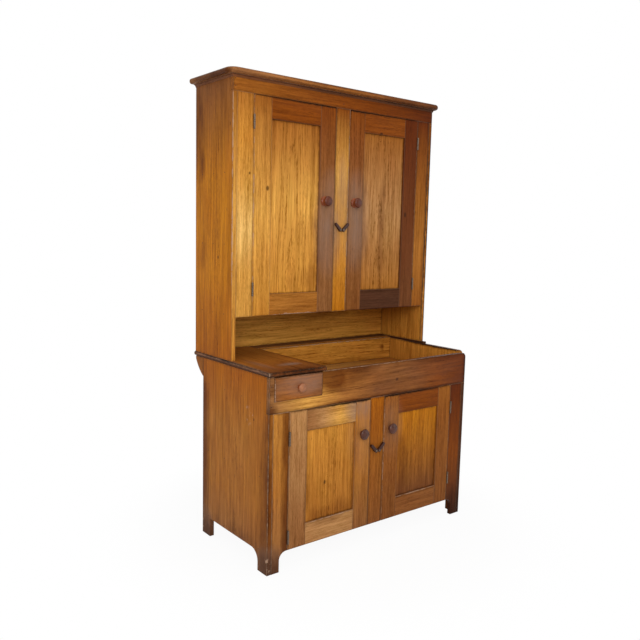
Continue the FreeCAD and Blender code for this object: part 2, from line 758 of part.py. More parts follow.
def turn_button(level, side, sign, face, height):
    """A tapered arm on a hub, bored for its screw. It hangs clear of the doors until it is turned."""
    name = f"button_{level}_{side}"
    points = [(f"{sign} * -button_half", "-button_half"), (f"{sign} * button_length", "-button_tip"),
              (f"{sign} * button_length", "button_tip"), (f"{sign} * -button_half", "button_half")]
    arm = prism(f"{name}_arm", "XZ_Plane", points, "-button_lift - button_thick", "-button_lift")
    dress(arm, "Fillet", "button_tip * 0.85", {"x": f"{sign} * button_length", "z": "-button_tip"},
          {"x": f"{sign} * button_length", "z": "button_tip"})
    dress(arm, "Fillet", "button_half * 0.85", {"x": f"{sign} * -button_half", "z": "-button_half"},
          {"x": f"{sign} * -button_half", "z": "button_half"})
    hub = rod_forward(f"{name}_hub", "button_hub", "0", ("-button_lift", "0"), "0")
    bore = rod_forward(f"{name}_bore", "screw_radius + screw_clearance", "0",
                       ("-button_lift - button_thick", "0"), "0")
    button = cut(name, fused(f"{name}_solid", [arm, hub]), [bore])
    button.Placement.Rotation = FreeCAD.Rotation(FreeCAD.Vector(0, 1, 0), 10)
    bind(button, "Placement.Rotation.Angle", f"{-sign} * button_rest * 1deg")
    return place(button, f"{sign} * button_apart", face, height)


def button_screw(level, side, sign, face, height):
    """A round-headed screw, turned about the axis that its button swings on."""
    head = "button_lift + button_thick + screw_slack"
    points = [("0", "-screw_depth"), ("screw_radius", "-screw_depth"), ("screw_radius", head),
              ("screw_head", head), ("screw_head", f"{head} + screw_head_thick * 0.4"),
              ("screw_head * 0.5", f"{head} + screw_head_thick"), ("0", f"{head} + screw_head_thick")]
    return turned(f"screw_{level}_{side}", points, f"{sign} * button_apart", face, height)


def buttons():
    screws = []
    for level, face, height in (("upper", "upper_face", "upper_low + upper_button_up"),
                                ("lower", "face", "arch_height + lower_button_up")):
        for side, sign in SIDES:
            node(turn_button(level, side, sign, face, height))
            screws.append(button_screw(level, side, sign, face, height))
    node(group("button_screws", screws))


# ---------------------------------------------------------------- whole cupboard

def fixed_hinges():
    """The leaves let into the stiles, and the pins, which stay with the case."""
    leaves = []
    pins = []
    for key, door in DOORS.items():
        for index, middle in enumerate(hinge_heights(door)):
            leaves.append(hinge_leaf(door, f"frame_{key}_leaf_{index}", middle, False))
            pins.append(hinge_pin(door, f"pin_{key}_{index}", middle))
    node(group("frame_hinge_leaves", leaves))
    node(group("hinge_pins", pins))


base()
drawer()
upper_case()
for key, door in DOORS.items():
    make_door(key, door)
fixed_hinges()
buttons()
doc.recompute()

faults = [f"{obj.Label}: {obj.State}" for obj in doc.Objects if {"Invalid", "Error"} & set(obj.State)]
faults += [f"{obj.Label}: no valid shape" for obj in nodes if obj.Shape.isNull() or not obj.Shape.isValid()]
if faults:
    raise RuntimeError("\n".join(faults))

os.makedirs("parts", exist_ok=True)
for obj in nodes:
    obj.Shape.exportStep(f"parts/{obj.Label}.step")
print(len(nodes), "sub-parts")
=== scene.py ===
"""Step back cupboard: an old yellow pine kitchen cupboard, dressed for rendering."""
import json
import random
from math import cos, pi, radians, sin

import bmesh
import bpy
from bpy.props import FloatProperty, FloatVectorProperty, IntProperty, PointerProperty
from mathutils import Matrix, Vector


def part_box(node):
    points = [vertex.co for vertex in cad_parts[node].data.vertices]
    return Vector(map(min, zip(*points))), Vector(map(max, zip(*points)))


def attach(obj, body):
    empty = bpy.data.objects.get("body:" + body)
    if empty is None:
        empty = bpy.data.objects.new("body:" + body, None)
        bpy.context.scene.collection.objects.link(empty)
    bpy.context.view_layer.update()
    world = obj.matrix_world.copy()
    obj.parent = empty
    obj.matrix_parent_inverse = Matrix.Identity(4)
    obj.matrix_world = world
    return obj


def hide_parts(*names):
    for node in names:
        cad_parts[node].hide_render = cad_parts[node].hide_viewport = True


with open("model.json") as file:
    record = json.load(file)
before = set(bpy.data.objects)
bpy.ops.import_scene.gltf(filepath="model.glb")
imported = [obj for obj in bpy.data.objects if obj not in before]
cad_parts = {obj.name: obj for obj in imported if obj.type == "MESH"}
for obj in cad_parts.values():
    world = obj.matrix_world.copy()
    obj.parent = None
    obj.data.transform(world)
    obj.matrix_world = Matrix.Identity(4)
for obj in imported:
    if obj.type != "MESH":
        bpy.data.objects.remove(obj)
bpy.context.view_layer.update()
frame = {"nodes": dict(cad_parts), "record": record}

bl_info = {
    "name": "Step Back Cupboard",
    "version": (1, 0, 0),
    "blender": (4, 5, 0),
    "location": "View3D > Sidebar > Cupboard",
    "description": "Dresses the boards, doors and fittings of an old pine cupboard",
    "category": "Object",
}

MM = 0.001
FRONT, BACK = (0, -1, 0), (0, 1, 0)
WOODPILE = 0  # another number deals every board another place in the log
KNOT_MARGIN = 6 * MM  # how far outside a board a knot's middle may lie and still show on it
EDGE_SKIN = 0.3 * MM  # depth of the front edge that may have its own stain
NO_KNOT = (9.0, 9.0, MM)  # a place metres off the board
CARRIED = ("board", "reach", "luck", "figure", "knot", "edges", "marks")  # what a board's points know


def linear(code):
    """An sRGB hex colour as linear red, green and blue."""
    parts = [int(code[i:i + 2], 16) / 255 for i in (1, 3, 5)]
    return tuple(p / 12.92 if p <= 0.04045 else ((p + 0.055) / 1.055) ** 2.4 for p in parts)


def colour_property(name, description, code):
    return FloatVectorProperty(name=name, description=description, default=linear(code),
                               size=3, min=0, max=1, subtype="COLOR")


def length_property(name, description, millimetres):
    return FloatProperty(name=name, description=description, default=millimetres * MM,
                         min=0, unit="LENGTH", precision=4)


# ---- sizes and colours

class CupboardSizes(bpy.types.PropertyGroup):
    arris: length_property("Arris", "Worn rounding of a board's edges", 1.6)
    panel_arris: length_property("Panel arris", "Rounding of the door panels' edges", 0.6)
    bottom_arris: length_property("Bottom arris", "Rounding of the drawer bottom's edges", 0.5)
    button_arris: length_property("Button arris", "Rounding of the turn buttons' edges", 1.4)
    hinge_arris: length_property("Hinge arris", "Rounding of the hinges' edges", 0.25)
    screw_arris: length_property("Screw arris", "Rounding of the screw heads' edges", 0.3)
    tongue: length_property("Tongue", "How far a door panel reaches into its frame", 9)
    ring: length_property("Growth ring", "Width of one growth ring in the boards", 4)
    fibre: length_property("Fibre", "Spacing of the fine streaks along the grain", 3.2)
    cove: length_property("Cove", "Height of the moulding under the cornice", 12)
    nail_head: length_property("Nail head", "Radius of the old nail heads", 2.4)
    nail_height: length_property("Nail height", "How far the nail heads stand up", 0.5)
    point_step: length_property("Point step", "Spacing of the points that carry stain and marks", 20)
    knob_turns: IntProperty(name="Knob facets", description="Steps round a turned knob", default=56, min=12)


class CupboardColours(bpy.types.PropertyGroup):
    varnish: colour_property("Varnish", "Amber that old varnish lends to its reflections", "#f0b070")
    rings: colour_property("Latewood", "What the hard part of a ring lets through of its stain", "#b9a878")
    knot: colour_property("Knot", "Heart of a knot under old varnish", "#32190b")
    # grime also paints shade: dark lines in gaps and recesses, and on edges turned away from the lamps
    grime: colour_property("Grime", "Dirt and old polish in corners and on edges", "#21140d")
    # film also paints sheen: pale highlights on the varnish by the knobs and on some rails
    film: colour_property("Film", "Dull film where hands have been", "#886f60")
    worn: colour_property("Bare edge", "Edges rubbed through the varnish", "#b8967c")
    knob: colour_property("Knob face", "Dark face of the turned knobs", "#52230f")
    knob_side: colour_property("Knob side", "Red-brown sides and roses of the knobs", "#7e3a12")
    handled_knob: colour_property("Handled knob", "Knobs that hands have darkened most", "#4e2a1e")
    drawer_knob: colour_property("Drawer knob", "Turned wood with its stain worn off", "#96603f")
    button: colour_property("Button wood", "Dark stained wood of the turn buttons", "#38190e")
    iron: colour_property("Old iron", "Rubbed iron of hinges and screws", "#6e5e4e")
    nail: colour_property("Nail", "Rusted cut nail", "#24170f")
    rust: colour_property("Rust", "Thin rust in the pits of the iron", "#3a2114")
    floor: colour_property("Floor", "Plain pale studio floor", "#f4f3f1")


def sizes():
    return bpy.context.scene.cupboard_sizes


def colours():
    return bpy.context.scene.cupboard_colours


# ---- materials

def add(tree, kind, inputs=(), out=0, **settings):
    """Adds a node with its settings, sets or links its inputs, by name or in order, and gives an output."""
    made = tree.nodes.new(kind)
    for key, value in settings.items():
        setattr(made, key, value)
    for key, value in inputs.items() if isinstance(inputs, dict) else enumerate(inputs):
        if isinstance(value, bpy.types.NodeSocket):
            tree.links.new(value, made.inputs[key])
        else:
            made.inputs[key].default_value = value
    return made.outputs[out] if made.outputs else None


def rgba(colour):
    return (*colour, 1.0)


def new_material(name, **constants):
    """A material with a Principled shader, whose constant values stand on its own sockets."""
    material = bpy.data.materials.new(name)
    material.use_nodes = True
    shader = material.node_tree.nodes["Principled BSDF"]
    for key, value in constants.items():
        shader.inputs[key.replace("_", " ")].default_value = value
    return material, material.node_tree


def with_surface(material, colour, roughness, height, strength, distance):
    """Links a material's colour, its roughness and the bump of its relief to its shader."""
    tree = material.node_tree
    bump = add(tree, "ShaderNodeBump", {"Strength": strength, "Distance": distance, "Height": height})
    for name, source in (("Base Color", colour), ("Roughness", roughness), ("Normal", bump)):
        tree.links.new(source, tree.nodes["Principled BSDF"].inputs[name])
    return material


def pine(name, roughness):
    """Old yellow pine: stained and varnished boards with growth rings, knots, dirt and wear.

    Each board carries what it is as attributes: "board" is the place from its middle (along, across,
    through), "reach" half its size, "luck" where it was sawn from the log, "figure" its ring width and
    the strength of its rings and of its streaks, "tint" its stain, with some shade painted into it,
    "knot" a knot's place and radius, "edges" how worn its edges are and how much grime and painted shade
    lie along them, and "marks" the dirt and painted shade, the dull film and painted sheen, and the
    scuffs on its faces. The varnish is old and dull, so it shines little and its reflections are amber.
    """
    tone = colours()
    material, tree = new_material(name, IOR=1.45, Specular_IOR_Level=0.07, Specular_Tint=rgba(tone.varnish))
    own = {key: add(tree, "ShaderNodeAttribute", out="Vector", attribute_name=key)
           for key in CARRIED}
    parts = {key: add(tree, "ShaderNodeSeparateXYZ", (own[key],)).node.outputs
             for key in ("board", "figure", "knot", "edges", "marks")}
    across, knot_radius = parts["board"][1], parts["knot"][2]
    ring_width, ring_strength, streak_strength = parts["figure"]
    edge_wear, edge_grime, _ = parts["edges"]
    dirt_and_shade_mark, film_mark, scuff_mark = parts["marks"]
    log = add(tree, "ShaderNodeVectorMath", (own["board"], own["luck"]), operation="ADD")

    # streaked noises, each far longer along the grain than across it: scales per metre both ways, detail
    noise = {}
    for key, along, over, detail in (
            ("cloud", 1.5, 7, 3), ("streak", 1.8, 30, 3), ("fibre", 9, 1 / sizes().fibre, 3),
            ("break", 44, 210, 2), ("wave", 1.9, 5, 2), ("jag", 26, 130, 1), ("line", 3.5, 95, 2),
            ("fleck", 20, 105, 3), ("patch", 5, 12, 5), ("ragged", 38, 60, 3)):
        stretched = add(tree, "ShaderNodeMapping", {"Vector": log, "Scale": (along, over, over)})
        noise[key] = add(tree, "ShaderNodeTexNoise", {"Vector": stretched, "Scale": 1, "Detail": detail,
                                                      "Roughness": 0.62})

    # a knot pushes the rings round it aside; small pin knots lie here and there
    far = add(tree, "ShaderNodeVectorMath", (own["board"], own["knot"]), operation="SUBTRACT")
    far = add(tree, "ShaderNodeVectorMath", (far, (0.7, 1, 0)), operation="MULTIPLY")
    far = add(tree, "ShaderNodeVectorMath", (far,), "Value", operation="LENGTH")
    far = add(tree, "ShaderNodeMath", (far, knot_radius), operation="DIVIDE")
    core = add(tree, "ShaderNodeMapRange", (far, 0.6, 1.5, 0.75, 0), interpolation_type="SMOOTHSTEP")
    push = add(tree, "ShaderNodeMapRange", (far, 0.6, 6, 14 * MM, 0), interpolation_type="SMOOTHSTEP")
    pin = add(tree, "ShaderNodeMapping", {"Vector": log, "Scale": (2.7, 8, 0)})
    pin = add(tree, "ShaderNodeTexVoronoi", {"Vector": pin, "Scale": 1})
    size = add(tree, "ShaderNodeSeparateColor", (pin.node.outputs["Color"],))
    size = add(tree, "ShaderNodeMapRange", (size, 0.62, 1, 0, 0.05))
    pin = add(tree, "ShaderNodeMath", (size, pin), operation="SUBTRACT")
    pin = add(tree, "ShaderNodeMapRange", (pin, 0, 0.02, 0, 0.75))
    hearts = add(tree, "ShaderNodeMath", (core, pin), operation="MAXIMUM")

    # growth rings round the log, bent by slow waves and made jagged; one ring is 0.314 / scale wide
    sawn = add(tree, "ShaderNodeMapping", {"Vector": log, "Rotation": (0, 0.012, 0)})
    for key, amount in (("wave", (0, 4 * MM, 9 * MM)), ("jag", (0, 2.2 * MM, 2.2 * MM))):
        shift = add(tree, "ShaderNodeVectorMath", (noise[key].node.outputs["Color"], (0.5, 0.5, 0.5)),
                    operation="SUBTRACT")
        sawn = add(tree, "ShaderNodeVectorMath", (shift, amount, sawn), operation="MULTIPLY_ADD")
    sawn = add(tree, "ShaderNodeVectorMath", (push, (0, 1, 1), sawn), operation="MULTIPLY_ADD")
    sawn = add(tree, "ShaderNodeVectorMath", {0: sawn, 3: ring_width}, operation="SCALE")
    rings = add(tree, "ShaderNodeTexWave", {"Vector": sawn, "Scale": 0.314 / sizes().ring}, "Fac",
                wave_type="RINGS", rings_direction="X", wave_profile="SAW")
    dark = add(tree, "ShaderNodeValToRGB", (rings,))
    stops = dark.node.color_ramp.elements
    stops[0].color, stops[1].color = rgba([0.15] * 3), rgba([0.3] * 3)
    for place, shade in ((0.4, 0), (0.72, 0.6), (0.86, 1), (0.96, 0.9)):
        stops.new(place).color = rgba([shade] * 3)

    # the rings are broken, and fainter away from the board's middle; fine streaks lie over them
    broken = add(tree, "ShaderNodeMapRange", (noise["break"], 0.42, 0.62, 0, 1.3))
    inner = add(tree, "ShaderNodeMath", (across,), operation="ABSOLUTE")
    inner = add(tree, "ShaderNodeMapRange", (inner, 30 * MM, 110 * MM, 1, 0.5),
                interpolation_type="SMOOTHSTEP")
    for share in (broken, ring_strength, inner):
        dark = add(tree, "ShaderNodeMath", (dark, share), operation="MULTIPLY")
    streaks = 0
    for key, amount in (("fibre", 2.1), ("line", 2.1), ("streak", 1.1), ("cloud", 0.8)):
        even = add(tree, "ShaderNodeMath", (noise[key], 0.47), operation="SUBTRACT")
        streaks = add(tree, "ShaderNodeMath", (even, amount, streaks), operation="MULTIPLY_ADD")
    dark = add(tree, "ShaderNodeMath", (streaks, streak_strength, dark), operation="MULTIPLY_ADD")
    dark = add(tree, "ShaderNodeClamp", (dark, -0.25, 1.2))
    ringed = add(tree, "ShaderNodeMix", {0: dark, 6: rgba([1.12] * 3), 7: rgba(tone.rings)}, 2,
                 data_type="RGBA", clamp_factor=False)

    # warmer and redder clouds in the stain, and small dark flecks of pitch and old dirt along the grain
    warm = add(tree, "ShaderNodeMapRange", (noise["patch"].node.outputs["Color"], 0.35, 0.65))
    warm = add(tree, "ShaderNodeMix", {0: warm, 6: (1.05, 1.06, 1, 1), 7: (0.97, 0.88, 0.8, 1)}, 2,
               data_type="RGBA")
    pitch = add(tree, "ShaderNodeMapRange", (noise["fleck"], 0.64, 0.74, 1, 0.6))
    wood = add(tree, "ShaderNodeAttribute", attribute_name="tint")
    for share in (ringed, warm, pitch):
        wood = add(tree, "ShaderNodeVectorMath", (wood, share), operation="MULTIPLY")

    # dull film with painted sheen, and dirt with painted shade, lie in patches, thickest where the marks say
    film = add(tree, "ShaderNodeMapRange", (noise["patch"], 0.3, 0.65, 0.35, 1.15))
    film = add(tree, "ShaderNodeMath", (film, film_mark), operation="MULTIPLY", use_clamp=True)
    dirt_and_shade = add(tree, "ShaderNodeMath", (noise["patch"], dirt_and_shade_mark), operation="ADD")
    dirt_and_shade = add(tree, "ShaderNodeMapRange", (dirt_and_shade, 0.62, 1.15))

    # distance to the board's nearest arris: the middle one of the three distances to its faces
    away = add(tree, "ShaderNodeVectorMath", (own["board"],), operation="ABSOLUTE")
    away = add(tree, "ShaderNodeVectorMath", (own["reach"], away), operation="SUBTRACT")
    away = add(tree, "ShaderNodeSeparateXYZ", (away,)).node.outputs
    low = add(tree, "ShaderNodeMath", (away[0], away[1]), operation="MINIMUM")
    high = add(tree, "ShaderNodeMath", (away[0], away[1]), operation="MAXIMUM")
    high = add(tree, "ShaderNodeMath", (high, away[2]), operation="MINIMUM")
    arris = add(tree, "ShaderNodeMath", (low, high), operation="MAXIMUM")

    # grime and painted shade lie along the arrises in a ragged band; wear and scuffs go through to bare wood
    band = add(tree, "ShaderNodeMapRange", (noise["ragged"], 0.3, 0.7, 4 * MM, 14 * MM))
    grime = add(tree, "ShaderNodeMapRange", (arris, 0, band, 1, 0))
    grime = add(tree, "ShaderNodeMath", (grime, edge_grime), operation="MULTIPLY", use_clamp=True)
    rub = add(tree, "ShaderNodeMapRange", (noise["ragged"], 0.35, 0.65, 0, 6 * MM))
    rub = add(tree, "ShaderNodeMath", (rub, edge_wear), operation="MULTIPLY")
    rub = add(tree, "ShaderNodeMath", (rub, arris), operation="SUBTRACT")
    rub = add(tree, "ShaderNodeMapRange", (rub, -1.5 * MM, 1.5 * MM, 0, 0.6))
    flecks = add(tree, "ShaderNodeMath", (noise["ragged"], scuff_mark), operation="ADD")
    flecks = add(tree, "ShaderNodeMapRange", (flecks, 1.1, 1.25, 0, 0.75))
    bare = add(tree, "ShaderNodeMath", (rub, flecks), operation="MAXIMUM")

    for cover, colour, blend in ((hearts, tone.knot, "MIX"), (film, tone.film, "MIX"),
                                 (dirt_and_shade, (0.38, 0.28, 0.22), "MULTIPLY"), (grime, tone.grime, "MIX"),
                                 (bare, tone.worn, "MIX")):
        wood = add(tree, "ShaderNodeMix", {0: cover, 6: wood, 7: rgba(colour)}, 2,
                   data_type="RGBA", blend_type=blend)
    rough = add(tree, "ShaderNodeMapRange", (noise["cloud"], 0.3, 0.7, roughness - 0.06, roughness + 0.08))
    for cover, amount in ((film, 0.2), (bare, 0.25)):
        rough = add(tree, "ShaderNodeMath", (cover, amount, rough), operation="MULTIPLY_ADD")
    relief = add(tree, "ShaderNodeMath", (dark, 0.5, noise["fibre"]), operation="MULTIPLY_ADD")
    return with_surface(material, wood, rough, relief, 0.3, 0.5 * MM)


def turned_wood(name, roughness, face, side):
    """Turned hardwood, stained and handled until it shines: dark on its face, redder on its sides.

    Its fibres are about 2.4 mm apart and 22 mm long, its broad clouds 26 mm: coarse, so that they show.
    """
    material, tree = new_material(name, IOR=1.45, Specular_IOR_Level=0.25, Coat_Weight=0.1,
                                  Coat_Roughness=0.12)
    place = add(tree, "ShaderNodeTexCoord", out="Object")
    fine = add(tree, "ShaderNodeMapping", {"Vector": place, "Scale": (420, 420, 45)})
    fine = add(tree, "ShaderNodeTexNoise", {"Vector": fine, "Scale": 1, "Detail": 3})
    broad = add(tree, "ShaderNodeTexNoise", {"Vector": place, "Scale": 38, "Detail": 2})
    shade = add(tree, "ShaderNodeMath", (fine, 0.6, broad), operation="MULTIPLY_ADD")
    shade = add(tree, "ShaderNodeMapRange", (shade, 0.5, 1.1, 0.6, 1.35))
    front = add(tree, "ShaderNodeAttribute", out="Fac", attribute_name="front")
    stain = add(tree, "ShaderNodeMix", {0: front, 6: rgba(getattr(colours(), side)),
                                        7: rgba(getattr(colours(), face))}, 2, data_type="RGBA")
    stain = add(tree, "ShaderNodeVectorMath", {0: stain, 3: shade}, operation="SCALE")
    gloss = add(tree, "ShaderNodeMapRange", (broad, 0.3, 0.7, roughness - 0.08, roughness + 0.1))
    return with_surface(material, stain, gloss, fine, 0.25, 0.4 * MM)


def old_iron(name, roughness, colour):
    """Old iron: rubbed grey where it is touched, brown with thin rust in its pits, about 4 mm apart."""
    material, tree = new_material(name, Metallic=0.4)
    place = add(tree, "ShaderNodeTexCoord", out="Object")
    rust = add(tree, "ShaderNodeTexNoise", {"Vector": place, "Scale": 240, "Detail": 4, "Roughness": 0.7})
    pits = add(tree, "ShaderNodeMapRange", (rust, 0.45, 0.65))
    tone = add(tree, "ShaderNodeMix", {0: pits, 6: rgba(getattr(colours(), colour)),
                                       7: rgba(colours().rust)}, 2, data_type="RGBA")
    rough = add(tree, "ShaderNodeMapRange", (rust, 0.3, 0.7, roughness - 0.12, roughness + 0.2))
    return with_surface(material, tone, rough, rust, 0.4, 0.3 * MM)


# what makes each material, its name, its roughness and the names of its colours
MATERIALS = {
    "case": (pine, "varnished_yellow_pine", 0.4),
    "inside": (pine, "oiled_pine_inside", 0.62),
    "turned": (turned_wood, "turned_knob_wood", 0.34, "knob", "knob_side"),
    "turned_dark": (turned_wood, "turned_knob_handled", 0.3, "handled_knob", "handled_knob"),
    "turned_tan": (turned_wood, "turned_wood_worn", 0.42, "drawer_knob", "knob_side"),
    "button": (turned_wood, "stained_button_wood", 0.38, "button", "button"),
    "iron": (old_iron, "rubbed_hinge_iron", 0.5, "iron"),
    "nail": (old_iron, "rusted_nail_iron", 0.65, "nail"),
}


def material_for(key):
    make, name, *finish = MATERIALS[key]
    return bpy.data.materials.get(name) or make(name, *finish)


# ---- meshes

def placed(name, data):
    """A new object in the scene."""
    made = bpy.data.objects.new(name, data)
    bpy.context.scene.collection.objects.link(made)
    return made


def finish_piece(name, mesh, body, material, replaced=(), sharp=40):
    """Links a mesh as a piece of the cupboard that rides on a body."""
    mesh.materials.clear()
    mesh.materials.append(material_for(material))
    mesh.shade_smooth()
    mesh.set_sharp_from_angle(angle=radians(sharp))
    piece = placed(name, mesh)
    if replaced:
        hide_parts(*replaced)
    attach(piece, body)


def stand_in(node, ending, mesh, material, sharp=40):
    """Finishes a mesh as the piece that replaces a CAD node, on its body and with its material."""
    bodies = frame["record"]["behaviour"]["bodies"]
    body = next(body for body, members in bodies.items() if node in members)
    finish_piece(f"{node}_{ending}", mesh, body, material, (node,), sharp)


def as_data(mesh, name):
    """A finished bmesh as mesh data."""
    data = bpy.data.meshes.new(name)
    mesh.to_mesh(data)
    mesh.free()
    return data


def baked(piece):
    """The mesh that an object's modifiers give, as plain mesh data. The object is removed."""
    bpy.context.view_layer.update()
    mesh = bpy.data.meshes.new_from_object(piece.evaluated_get(bpy.context.evaluated_depsgraph_get()))
    bpy.data.objects.remove(piece)
    return mesh


def softened(node, width, segments=2):
    """A copy of a CAD node's mesh, its doubles merged, its flat faces whole and its sharp edges rounded."""
    mesh = bmesh.new()
    mesh.from_mesh(frame["nodes"][node].data)
    bmesh.ops.remove_doubles(mesh, verts=mesh.verts, dist=0.01 * MM)
    bmesh.ops.dissolve_limit(mesh, angle_limit=radians(0.6), verts=mesh.verts, edges=mesh.edges)
    piece = placed(node + "_soft", as_data(mesh, node + "_soft"))
    bevel = piece.modifiers.new("Arris", "BEVEL")
    bevel.width = width
    bevel.segments = segments
    bevel.limit_method = "ANGLE"
    bevel.angle_limit = radians(38)
    return baked(piece)


def crosscut(data, step):
    """Cuts a mesh's faces along planes a step apart, so that its points can carry stain and marks."""
    mesh = bmesh.new()
    mesh.from_mesh(data)
    for axis in range(3):
        low = min(vertex.co[axis] for vertex in mesh.verts)
        high = max(vertex.co[axis] for vertex in mesh.verts)
        count = int((high - low) / step)
        for index in range(1, count + 1):
            place, normal = Vector(), Vector()
            place[axis] = low + (high - low) * index / (count + 1)
            normal[axis] = 1
            bmesh.ops.bisect_plane(mesh, geom=mesh.verts[:] + mesh.edges[:] + mesh.faces[:], dist=1e-6,
                                   plane_co=place, plane_no=normal)
    mesh.to_mesh(data)
    mesh.free()


def islands(mesh):
    """The vertices of each connected part of a mesh, as lists of their numbers."""
    neighbours = [[] for _ in mesh.vertices]
    for edge in mesh.edges:
        a, b = edge.vertices
        neighbours[a].append(b)
        neighbours[b].append(a)
    left = set(range(len(mesh.vertices)))
    while left:
        part = [left.pop()]
        for here in part:
            fresh = left.intersection(neighbours[here])
            left -= fresh
            part += fresh
        yield part


# the tones of the boards' stain and varnish, read with the light on them: where a board darkens towards the
# top of the upper case, or the right-hand boards are darker, that is partly painted shade
TONES = {
    "straw": "#dcb068", "gold": "#ca9446", "honey": "#be8234", "amber": "#b67214", "tan": "#ac7e50",
    "caramel": "#a06628", "orange": "#a05a0c", "dun": "#885a34", "nut": "#90561e", "brown": "#7e4c24",
    "russet": "#783c0a", "drab": "#6a3e22", "mahogany": "#5a2404", "umber": "#4c2c1c",
}

# how a board was sawn: pith's distance to the side and behind in metres, strength of rings and of streaks
CUTS = {
    "rift": ((0.14, 0.28), (0.06, 0.12), 0.5, 0.75),
    "flat": ((0.0, 0.02), (0.035, 0.05), 0.58, 0.9),
    "deep": ((0.0, 0.12), (0.09, 0.14), 0.5, 0.85),
}

# knots worth a place of their own: x, y, z and radius in millimetres
KNOTS = (
    (-430, -2, 1640, 7), (432, -2, 1553, 8), (-522, 1, 1700, 4), (247, 7, 1946, 6), (-301, -297, 350, 6),
    (-609, 30, 712, 6), (-609, -190, 655, 4), (-609, 272, 1985, 9), (-609, 120, 1330, 5), (120, -303, 770, 6),
)
